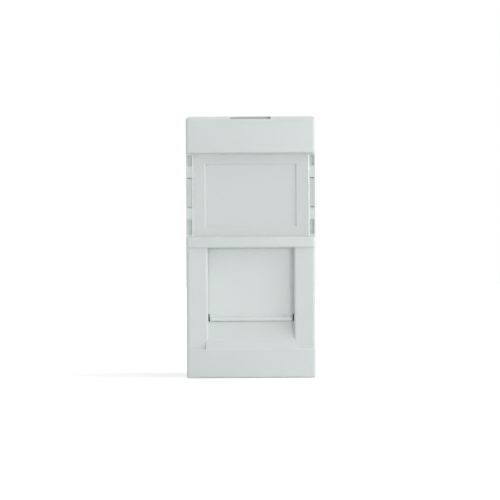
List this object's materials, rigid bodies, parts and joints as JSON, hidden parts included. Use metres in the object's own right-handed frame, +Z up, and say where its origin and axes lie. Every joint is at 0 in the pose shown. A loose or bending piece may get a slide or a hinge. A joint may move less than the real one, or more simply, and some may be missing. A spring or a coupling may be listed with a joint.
{
  "type": "ethernet socket module",
  "caption": "Slim upright data socket module with a clear label window, a sprung sliding shutter over the plug opening, and a rear jack with punch-down terminals.",
  "frame": {"origin": "middle of the face in X and Z, on the plane where the face frame seats on the mounting frame", "axes": "+X to the right as seen from the front, +Y into the wall, +Z up"},
  "size_m": [0.0222, 0.0309, 0.045],
  "materials": {
    "face_plastic": "fine satin moulding",
    "clear_window": "clear, polished",
    "paper": "plain white card",
    "shutter_plastic": "fine satin moulding",
    "spring_steel": "drawn wire",
    "carrier_plastic": "matt moulding",
    "jack_plastic": "matt black moulding",
    "comb_plastic": "matt black moulding",
    "board": "solder mask",
    "terminal_plastic": "matt black moulding",
    "cap_plastic": "satin moulding",
    "contact_gold": "plated",
    "blade_tin": "tin plated"
  },
  "bodies": {
    "module": {"front_frame": "face_plastic", "label_card": "paper", "shutter_spring": "spring_steel", "rear_carrier": "carrier_plastic", "jack_housing": "jack_plastic", "contact_comb": "comb_plastic", "circuit_board": "board", "terminal_block_upper": "terminal_plastic", "terminal_block_lower": "terminal_plastic", "wire_cap_upper": "cap_plastic", "wire_cap_lower": "cap_plastic", "contact_1": "contact_gold", "contact_2": "contact_gold", "contact_3": "contact_gold", "contact_4": "contact_gold", "contact_5": "contact_gold", "contact_6": "contact_gold", "contact_7": "contact_gold", "contact_8": "contact_gold", "terminal_blade_1": "blade_tin", "terminal_blade_2": "blade_tin", "terminal_blade_3": "blade_tin", "terminal_blade_4": "blade_tin", "terminal_blade_5": "blade_tin", "terminal_blade_6": "blade_tin", "terminal_blade_7": "blade_tin", "terminal_blade_8": "blade_tin"},
    "shutter": {"shutter": "shutter_plastic"},
    "label_window": {"label_cover": "clear_window"}
  },
  "joints": [
    {"name": "shutter_slide", "type": "slide", "parent": "module", "child": "shutter", "axis": [0, 0, 1], "range_m": [0, 0.011], "stiffness_N_per_m": 20, "springref_m": -0.006, "deforming": ["shutter_spring"]},
    {"name": "label_window_pull", "type": "slide", "parent": "module", "child": "label_window", "axis": [0, -1, 0], "range_m": [0, 0.004]}
  ]
}
